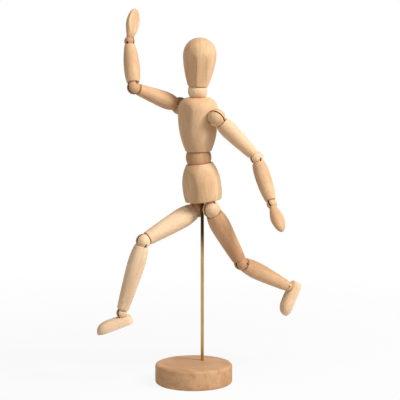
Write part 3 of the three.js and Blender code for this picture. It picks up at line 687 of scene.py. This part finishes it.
# faces further than this under a ball's surface get the painted slot shade
SLOT_SHADE_DEPTH = 0.15
SAW_OVERRUN = 1.0
LONG_SLOT_SHARE = 0.62
SHORT_SLOT_FOOT = -1.25
BALLS = {
    "shoulder": SHOULDER_BALL,
    "elbow": 6.1,
    "wrist": 4.7,
    "hip": HIP_BALL,
    "knee": 6.6,
    "ankle": 4.8,
}
SHORT_SLOT_FANS = {"shoulder": 74, "elbow": 68, "wrist": 58, "hip": 36, "knee": 74, "ankle": 58}
LONG_SLOT_ABOVE = ("elbow", "knee")
BALL_TONES_AND_SHADE = {
    "left_elbow": pale_beech,
    "left_hip": cream_beech,
    "left_knee": brown_beech,
    # the right shoulder ball is brown as painted shade, for the deep shade behind the chest
    "right_shoulder": brown_beech,
    "right_elbow": brown_beech,
    "right_wrist": brown_beech,
    # the right hip ball is brown as painted shade, for the deep shade under the pelvis
    "right_hip": brown_beech,
    "right_knee": pale_beech,
    "right_ankle": pale_beech,
}


def saw_cutter(outline, is_turned, side):
    """Flat cutter of the slot's width: the outline of across and towards-the-opening points,
    carried through the width. It lies in the xz plane, or in the yz plane when it is turned, and
    opens to a side of z."""
    across, towards = np.array(outline).T
    half = SLOT_WIDTH / 2
    plates = [
        np.stack([across, np.full_like(across, offset), side * towards], axis=-1)
        for offset in (half, -half)
    ]
    if is_turned:
        plates = [plate[:, [1, 0, 2]] for plate in plates]
    ring = np.arange(len(across))
    far_ring = ring + len(across)
    walls = np.stack([ring, np.roll(ring, -1), np.roll(far_ring, -1), far_ring], axis=-1)
    ends = [ring[::-1].tolist(), far_ring.tolist()]
    mesh = bpy.data.meshes.new("saw")
    mesh.from_pydata(np.concatenate(plates).tolist(), [], ends + walls.tolist())
    if (side < 0) != is_turned:
        mesh.flip_normals()
    return mesh


def slotted_ball(radius, long_side, fan_angle):
    """A ball less its long slot, a deep straight cut in the yz plane, and its short slot, a fan in
    the xz plane that opens by an angle in degrees to each side. Faces whose middle lies well under
    the ball's surface, inside the cuts, are marked for painted shade."""
    over = radius + SAW_OVERRUN
    deep = -LONG_SLOT_SHARE * radius
    fan = LINK_BORE + over * np.tan(np.radians(fan_angle))
    long_cut = [(-over, deep), (over, deep), (over, over), (-over, over)]
    short_cut = [
        (-LINK_BORE, SHORT_SLOT_FOOT),
        (LINK_BORE, SHORT_SLOT_FOOT),
        (LINK_BORE, 0),
        (fan, over),
        (-fan, over),
        (-LINK_BORE, 0),
    ]
    cutters = [saw_cutter(long_cut, True, long_side), saw_cutter(short_cut, False, -long_side)]
    mesh = carve(full_ball(radius, sides=72), cutters)
    middles = np.empty(len(mesh.polygons) * 3, dtype=np.float32)
    mesh.polygons.foreach_get("center", middles)
    depth = radius - np.linalg.norm(middles.reshape(-1, 3), axis=1)
    # mark of the faces inside the saw cuts that get painted shade
    slot_shade = mesh.attributes.new("slot_shade", "FLOAT", "FACE")
    slot_shade.data.foreach_set("value", (depth > SLOT_SHADE_DEPTH).astype(np.float32))
    return mesh


def ball_axes(name):
    """Own frame of a limb ball: x is the axis of its long slot, y that of its short slot."""
    x, y = axis_of(name + "_bend"), axis_of(name + "_tilt")
    return axes_from(x, np.cross(x, y))


for side in ("left", "right"):
    for name, radius in BALLS.items():
        joint = f"{side}_{name}"
        node = joint + "_ball"
        long_side = 1 if name in LONG_SLOT_ABOVE else -1
        ball = slotted_ball(radius, long_side, SHORT_SLOT_FANS[name])
        finish = BALL_TONES_AND_SHADE.get(joint, honey_beech)
        wooden(node, ball, ball_axes(joint), place_of(joint + "_bend"), node, finish)


# Upper arms, forearms, thighs and shins
# Spindles of beech turned between centres, fullest above their middle, with a round cup in
# each end for the balls and a bore from end to end for the spring.

END_LAND = 0.6
EDGE_BREAK = 0.85
# the joints above and below, then the radius at the upper rim, the fullest place and the lower
# rim, where it is fullest, and the powers of the swell above and of the taper below
LIMBS = {
    "upper_arm": ("shoulder", "elbow", 6.5, 7.7, 5.3, 0.22, 2.0, 1.25),
    "forearm": ("elbow", "wrist", 5.8, 7.1, 5.0, 0.4, 2.8, 2.0),
    "thigh": ("hip", "knee", 7.7, 9.2, 6.4, 0.24, 2.0, 1.2),
    "shin": ("knee", "ankle", 6.5, 8.0, 5.3, 0.3, 2.4, 1.3),
}
LIMB_FINISHES = {
    "left_upper_arm": cream_beech,
    "left_thigh": brown_beech,
    "left_shin": tan_beech,
    "right_thigh": pale_beech,
    "right_shin": pale_beech,
}


def limb_cup(ball, rim):
    """Radius and depth of the cup in a limb's end, which starts inside the rounded edge of the rim
    and the land beside it: the level there is the root of the hollow squared less that radius
    squared."""
    mouth = rim - END_LAND - EDGE_BREAK
    level = np.sqrt((ball + FIT_GAP) ** 2 - mouth**2)
    return cup(ball, level, COIL_BORE, steps=10)


def limb_profile(length, upper_ball, lower_ball, upper, full, lower, fullest, swell, taper):
    """Radius and height of a bored spindle that hangs from 0 to -length. Going up the outside, the
    radius is the full one less a power of the way from the fullest place to each rim; the rims are
    rounded over, then the upper cup leads to the bore and the lower cup back to the lower rim."""
    upper_size, upper_depth = limb_cup(upper_ball, upper)
    lower_size, lower_depth = limb_cup(lower_ball, lower)
    top, bottom = -upper_depth[0], lower_depth[0] - length
    down = np.linspace(1, 0, 56)
    loss = (full - upper) * np.maximum(0, 1 - down / fullest) ** swell
    loss = loss + (full - lower) * np.maximum(0, (down - fullest) / (1 - fullest)) ** taper
    level = bottom + EDGE_BREAK + (top - bottom - 2 * EDGE_BREAK) * (1 - down)
    turn = np.linspace(0, np.pi / 2, 6)[:-1]
    low_edge = lower - EDGE_BREAK + EDGE_BREAK * np.sin(turn)
    high_edge = (upper - EDGE_BREAK + EDGE_BREAK * np.sin(turn))[::-1]
    drop = EDGE_BREAK * (1 - np.cos(turn))
    inside = np.concatenate([-upper_depth, lower_depth[::-1] - length])
    size = np.concatenate([low_edge, full - loss, high_edge, upper_size, lower_size[::-1]])
    return size, np.concatenate([bottom + drop, level, (top - drop)[::-1], inside])


for side in ("left", "right"):
    for name, (upper_joint, lower_joint, *shape) in LIMBS.items():
        node = f"{side}_{name}"
        start = place_of(f"{side}_{upper_joint}_bend")
        end = place_of(f"{side}_{lower_joint}_bend")
        length = np.linalg.norm(end - start) / MM
        profile = limb_profile(length, BALLS[upper_joint], BALLS[lower_joint], *shape)
        limb = skin(rings(*profile), loop=True)
        limb_axes = axes_from(axis_of(f"{side}_{upper_joint}_bend"), start - end)
        wooden(node, limb, limb_axes, start, node, LIMB_FINISHES.get(node, honey_beech))


# Hands
# Small flattened paddles of beech with a narrow neck, a pointed-oval flat palm and a cup
# for the wrist ball. A bent wire set in the neck holds each to its ball.

HAND_LENGTH = 30.5
HAND_NECK = 3.9
HAND_NECK_RADIUS = 3.6
HAND_RADIUS = 6.3
HAND_WIDEST = 0.5
HAND_SWELL = 1.3
HAND_DOME = 1.9
HAND_THICKNESS = 0.84
PALM_DEPTH = 2.7
PALM_SLOPE = np.radians(6)
PALM_EDGE = 0.2
EYE_BORE = 0.65
EYE_BORE_END = -10.3
TIP_SLACK = 0.05 * MM


def tip_of(node, start):
    """Middle of the points of a CAD node that lie furthest from a start point."""
    points = points_of(frame["nodes"][node].data)
    reach = np.linalg.norm(points - start, axis=1)
    return points[reach > reach.max() - TIP_SLACK].mean(axis=0)


def hand_rows(stations=128, sides=144):
    """Rings from the tip up to the neck: the radius swells by a power of a cosine from the neck to
    the widest place and falls off as a rounded end below it, the thickness is a share of the width,
    and the palm side stops at a plane that leans towards the tip. The cup and the bore follow."""
    down = np.linspace(1, 0, stations)
    above = np.maximum(0, 1 - down / HAND_WIDEST)
    below = np.maximum(0, (down - HAND_WIDEST) / (1 - HAND_WIDEST))
    swell = np.cos(above * np.pi / 2) ** HAND_SWELL
    neck_size = HAND_NECK_RADIUS + (HAND_RADIUS - HAND_NECK_RADIUS) * swell
    size = np.where(below > 0, HAND_RADIUS * domed(below, HAND_DOME), neck_size)
    size[0] = 0
    level = -HAND_NECK - (HAND_LENGTH - HAND_NECK) * down
    cup_size, cup_depth = cup(BALLS["wrist"], HAND_NECK, EYE_BORE, steps=8)
    size = np.concatenate([size, cup_size, [EYE_BORE, 0]])
    rows = rings(size, np.concatenate([level, -cup_depth, [EYE_BORE_END, EYE_BORE_END]]), sides)
    lean = (level + HAND_LENGTH * HAND_WIDEST) * np.sin(PALM_SLOPE)
    palm = (PALM_DEPTH + lean) / np.cos(PALM_SLOPE)
    forward = -HAND_THICKNESS * rows[:stations, :, 1]
    rows[:stations, :, 1] = -soft_least(forward, palm[:, None], PALM_EDGE)
    return rows


for side in ("left", "right"):
    node = f"{side}_hand"
    wrist = place_of(f"{side}_wrist_bend")
    palm_out = flat_faces(node, 1)[0]
    hand_up = unit(wrist - tip_of(node, wrist))
    hand_axes = axes_from(np.cross(-palm_out, hand_up), hand_up)
    wooden(node, skin(hand_rows()), hand_axes, wrist, node)


# Feet
# Loaf-shaped blocks of beech with a flat sole, rounded heel and toe, and a small seat for
# the ankle ball. A bent wire set in the seat holds each to its ball.

FOOT_LENGTH = 34.0
FOOT_WIDTH = 12.4
FOOT_HEIGHT = 9.2
HEEL_HEIGHT = 7.4
HEEL_BEHIND_ANKLE = 7.4
SOLE_BELOW_ANKLE = 11.4
EYE_BORE_START = -3.0
# shares of the length that the heel takes up and at which the toe starts
HEEL_SHARE = 0.14
TOE_START = 0.6
# how much the squares of width and height lose at the ends, and the powers of the loss at the toe
HEEL_WIDTH_LOSS = 0.7
HEEL_HEIGHT_LOSS = 0.25
TOE_LOSS = 0.985
TOE_WIDTH_POWER = 2.9
TOE_HEIGHT_POWER = 2.7
ARCH_WIDTH_POWER = 0.6
ARCH_HEIGHT_POWER = 0.75
END_HEIGHT_SHARE = 0.4


def foot_rows(stations=48, sides=64):
    """Upright sections from the heel to the toe along -y. Each is an arch over a flat sole: across
    goes as a power of the cosine and up as a power of the sine of the angle round it, times the
    half width and height there, which are rounded off towards the heel and the toe; the lower half
    of the angle runs back along the sole."""
    even = np.linspace(0, np.pi, stations)
    way = np.concatenate([[0], (1 - np.cos(even)) / 2, [1]])
    heel = np.maximum(0, 1 - way / HEEL_SHARE) ** 2
    toe = np.maximum(0, (way - TOE_START) / (1 - TOE_START))
    width_left = (1 - HEEL_WIDTH_LOSS * heel) * (1 - TOE_LOSS * toe**TOE_WIDTH_POWER)
    height_left = (1 - HEEL_HEIGHT_LOSS * heel) * (1 - TOE_LOSS * toe**TOE_HEIGHT_POWER)
    climbed = np.sin(np.minimum(1, way / TOE_START) * np.pi / 2)
    top = HEEL_HEIGHT + (FOOT_HEIGHT - HEEL_HEIGHT) * climbed
    half_width = (FOOT_WIDTH / 2 * np.sqrt(width_left))[:, None]
    height = (top * np.sqrt(height_left))[:, None]
    arch = np.linspace(0, np.pi, sides // 2 + 1)
    back = np.linspace(-1, 1, sides // 2 + 1)[1:-1]
    outward = np.sign(np.cos(arch)) * np.abs(np.cos(arch)) ** ARCH_WIDTH_POWER
    across = np.append(outward, back)
    up = np.append(np.abs(np.sin(arch)) ** ARCH_HEIGHT_POWER, 0 * back)
    open_row = np.ones((len(way), 1))
    open_row[[0, -1]] = 0
    middle = END_HEIGHT_SHARE * height
    rows = np.empty((len(way), len(across), 3))
    rows[..., 0] = half_width * across * open_row
    rows[..., 1] = (HEEL_BEHIND_ANKLE - FOOT_LENGTH * way)[:, None]
    rows[..., 2] = middle + (height * up - middle) * open_row - SOLE_BELOW_ANKLE
    return rows


for side in ("left", "right"):
    node = f"{side}_foot"
    ankle = place_of(f"{side}_ankle_bend")
    sole_out = flat_faces(node, 1)[0]
    foot_axes = axes_from(np.cross(tip_of(node, ankle) - ankle, sole_out), -sole_out)
    ankle_seat = full_ball(BALLS["ankle"] + FIT_GAP, sides=48)
    eye_bore = drill(EYE_BORE, EYE_BORE_END, EYE_BORE_START, sides=20)
    foot = carve(skin(foot_rows()), [ankle_seat, eye_bore])
    wooden(node, foot, foot_axes, ankle, node, pale_beech, along=(0, 2, 1))


# Springs, links and eyes
# Drawn steel wire inside the wood: coil springs with a hook at each end, and bent links and
# eyes set in the pelvis, chest, hands and feet. They show only in the saw slots.

WIRE_WAVES = (700.0, 700.0, 700.0)
WIRE_ROUGHNESS = (0.28, 0.48)

wire_steel = drawn_metal(
    "spring_wire",
    WIRE_WAVES,
    detail=3.0,
    dull="5E5A55",
    bright="9A9792",
    roughness=WIRE_ROUGHNESS,
)
for node, piece in frame["nodes"].items():
    if node.endswith(("_spring", "_link", "_eye")):
        piece.data.materials.clear()
        piece.data.materials.append(wire_steel)


# Floor, light and camera
# A wide pale floor that runs into a white surround, one soft lamp from the right, a weaker
# one from above in front, a weak one from the left, and the camera of the photograph.

WHITE = (1.0, 1.0, 1.0, 1.0)
FLOOR_HALF = 6.0
FLOOR_GREY = (0.75, 0.75, 0.75, 1.0)
FLOOR_ROUGHNESS = 0.9
WHITE_REACH = (0.1, 0.7)
WHITENESS = (0.9, 1.0)
SURROUND_LIGHT = (0.04, 1.0)
FIGURE_MIDDLE = np.array([0.0, 0.02, 0.19])
CAMERA_PLACE = np.array([0.7516, -1.0607, 0.315])
CAMERA_PITCH = np.radians(83.507)
CAMERA_YAW = np.radians(35.07)
CAMERA_LENS = 131.3
CAMERA_SENSOR = 36.0


def shown_directly(tree):
    """One for a ray that shows the surround itself or its reflection, zero for a ray that only
    gathers light."""
    path = added(tree, "ShaderNodeLightPath")
    value = path.outputs["Is Camera Ray"]
    for kind in ("Is Glossy Ray", "Is Transmission Ray"):
        inputs = {0: value, 1: path.outputs[kind]}
        value = added(tree, "ShaderNodeMath", inputs, operation="MAXIMUM").outputs["Value"]
    return value


floor_mesh = bpy.data.meshes.new("floor")
floor_corners = FLOOR_HALF * np.array([(-1, -1, 0), (1, -1, 0), (1, 1, 0), (-1, 1, 0)])
floor_mesh.from_pydata(floor_corners.tolist(), [], [(0, 1, 2, 3)])
floor = linked("floor", floor_mesh)
floor_finish, floor_tree, floor_shader = new_material("pale_floor")
feed(floor_tree, floor_shader, {"Base Color": FLOOR_GREY, "Roughness": FLOOR_ROUGHNESS})
floor_glow = added(floor_tree, "ShaderNodeEmission", {"Color": WHITE})
floor_place = {0: added(floor_tree, "ShaderNodeTexCoord").outputs["Object"]}
floor_reach = added(floor_tree, "ShaderNodeVectorMath", floor_place, operation="LENGTH")
floor_white = ranged(
    floor_tree, floor_reach.outputs["Value"], WHITE_REACH, WHITENESS, way="SMOOTHSTEP"
)
floor_shown = {0: floor_white, 1: shown_directly(floor_tree)}
floor_share = added(floor_tree, "ShaderNodeMath", floor_shown, operation="MULTIPLY")
floor_layers = {
    "Fac": floor_share.outputs["Value"],
    1: floor_shader.outputs["BSDF"],
    2: floor_glow.outputs["Emission"],
}
floor_mix = added(floor_tree, "ShaderNodeMixShader", floor_layers)
floor_output = floor_tree.nodes["Material Output"]
feed(floor_tree, floor_output, {"Surface": floor_mix.outputs["Shader"]})
floor_mesh.materials.append(floor_finish)

surround = bpy.data.worlds.new("white_surround")
surround.use_nodes = True
surround_tree = surround.node_tree
surround_light = ranged(surround_tree, shown_directly(surround_tree), ends=SURROUND_LIGHT)
surround_back = surround_tree.nodes["Background"]
feed(surround_tree, surround_back, {"Color": WHITE, "Strength": surround_light})
bpy.context.scene.world = surround

camera_right = np.array([np.cos(CAMERA_YAW), np.sin(CAMERA_YAW), 0.0])
camera_back = np.array([np.sin(CAMERA_YAW), -np.cos(CAMERA_YAW), 0.0])


def soft_lamp(name, right, back, up, size, power):
    """Square lamp at a place to the right of, towards the camera from and above the figure, aimed
    at the figure."""
    lamp = bpy.data.lights.new(name, "AREA")
    lamp.shape = "SQUARE"
    lamp.size = size
    lamp.energy = power
    holder = linked(name, lamp)
    offset = right * camera_right + back * camera_back + np.array([0.0, 0.0, up])
    matrix = np.eye(4)
    matrix[:3, :3] = axes_from(camera_right, offset)
    matrix[:3, 3] = FIGURE_MIDDLE + offset
    holder.matrix_world = Matrix(matrix.tolist())


soft_lamp("key_lamp", right=0.92, back=0.53, up=0.75, size=0.42, power=17.0)
soft_lamp("top_lamp", right=0.28, back=0.59, up=1.13, size=0.5, power=5.8)
soft_lamp("fill_lamp", right=-1.11, back=0.64, up=0.24, size=0.8, power=3.2)

camera_data = bpy.data.cameras.new("photo_camera")
camera_data.lens = CAMERA_LENS
camera_data.sensor_width = CAMERA_SENSOR
camera_data.sensor_fit = "HORIZONTAL"
camera = linked("photo_camera", camera_data)
camera.location = CAMERA_PLACE
camera.rotation_euler = (CAMERA_PITCH, 0.0, CAMERA_YAW)
bpy.context.scene.camera = camera
bpy.context.scene.view_settings.view_transform = "Standard"
